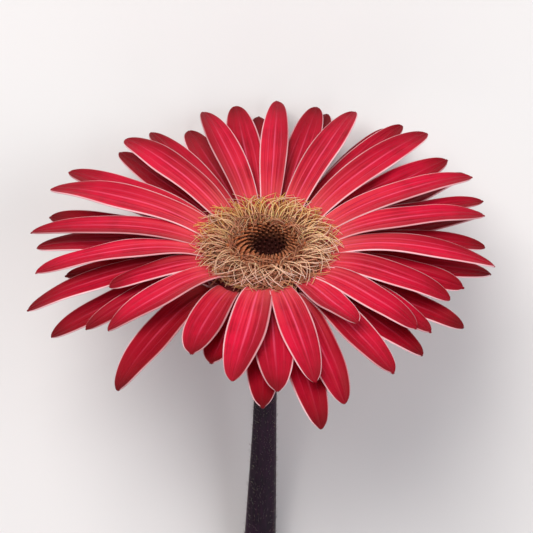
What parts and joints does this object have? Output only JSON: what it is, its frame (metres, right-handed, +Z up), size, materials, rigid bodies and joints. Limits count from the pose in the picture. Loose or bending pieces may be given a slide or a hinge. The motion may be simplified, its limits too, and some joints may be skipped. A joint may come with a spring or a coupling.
{
  "type": "cut gerbera",
  "caption": "Cut gerbera daisy lying on its side: whorls of long crimson petals round a disc of small florets, a cup of green bracts and a bare curved stem.",
  "frame": {"origin": "centre of the bounding box's base, on the surface the flower lies on", "axes": "+Z up, away from the surface; the stem runs from the flower head towards -Y; the head faces up and towards +Y, 40 degrees above the horizontal; +X is the head's right seen from above with the stem at the bottom"},
  "size_m": [0.111, 0.3642, 0.0814],
  "materials": {
    "petal": "soft satin petal, crimson with paler edges",
    "outer_florets": "matt tan florets with golden tips",
    "inner_florets": "matt brown florets",
    "buds": "matt dark brown closed buds",
    "receptacle": "matt green plant flesh",
    "bracts": "matt green with a fine down",
    "stem": "green flushed dark aubergine near the neck, fine down"
  },
  "bodies": {
    "root": {"receptacle": "receptacle", "bracts": "bracts", "disc_florets_outer": "outer_florets", "disc_florets_inner": "inner_florets", "disc_buds": "buds", "stem": "stem", "petal_upper_01": "petal", "petal_upper_02": "petal", "petal_upper_03": "petal", "petal_upper_04": "petal", "petal_upper_05": "petal", "petal_upper_06": "petal", "petal_upper_07": "petal", "petal_upper_08": "petal", "petal_upper_09": "petal", "petal_upper_10": "petal", "petal_upper_11": "petal", "petal_upper_12": "petal", "petal_upper_13": "petal", "petal_upper_14": "petal", "petal_upper_15": "petal", "petal_upper_16": "petal", "petal_upper_17": "petal", "petal_upper_18": "petal", "petal_middle_01": "petal", "petal_middle_02": "petal", "petal_middle_03": "petal", "petal_middle_04": "petal", "petal_middle_05": "petal", "petal_middle_06": "petal", "petal_middle_07": "petal", "petal_middle_08": "petal", "petal_middle_09": "petal", "petal_middle_10": "petal", "petal_middle_11": "petal", "petal_middle_12": "petal", "petal_middle_13": "petal", "petal_middle_14": "petal", "petal_middle_15": "petal", "petal_middle_16": "petal", "petal_middle_17": "petal", "petal_lower_01": "petal", "petal_lower_02": "petal", "petal_lower_03": "petal", "petal_lower_04": "petal", "petal_lower_05": "petal", "petal_lower_06": "petal", "petal_lower_07": "petal", "petal_lower_08": "petal", "petal_lower_09": "petal", "petal_lower_10": "petal", "petal_lower_11": "petal", "petal_lower_12": "petal", "petal_lower_13": "petal", "petal_lower_14": "petal", "petal_lower_15": "petal", "petal_lower_16": "petal", "petal_lower_17": "petal", "petal_lower_18": "petal"}
  },
  "joints": []
}
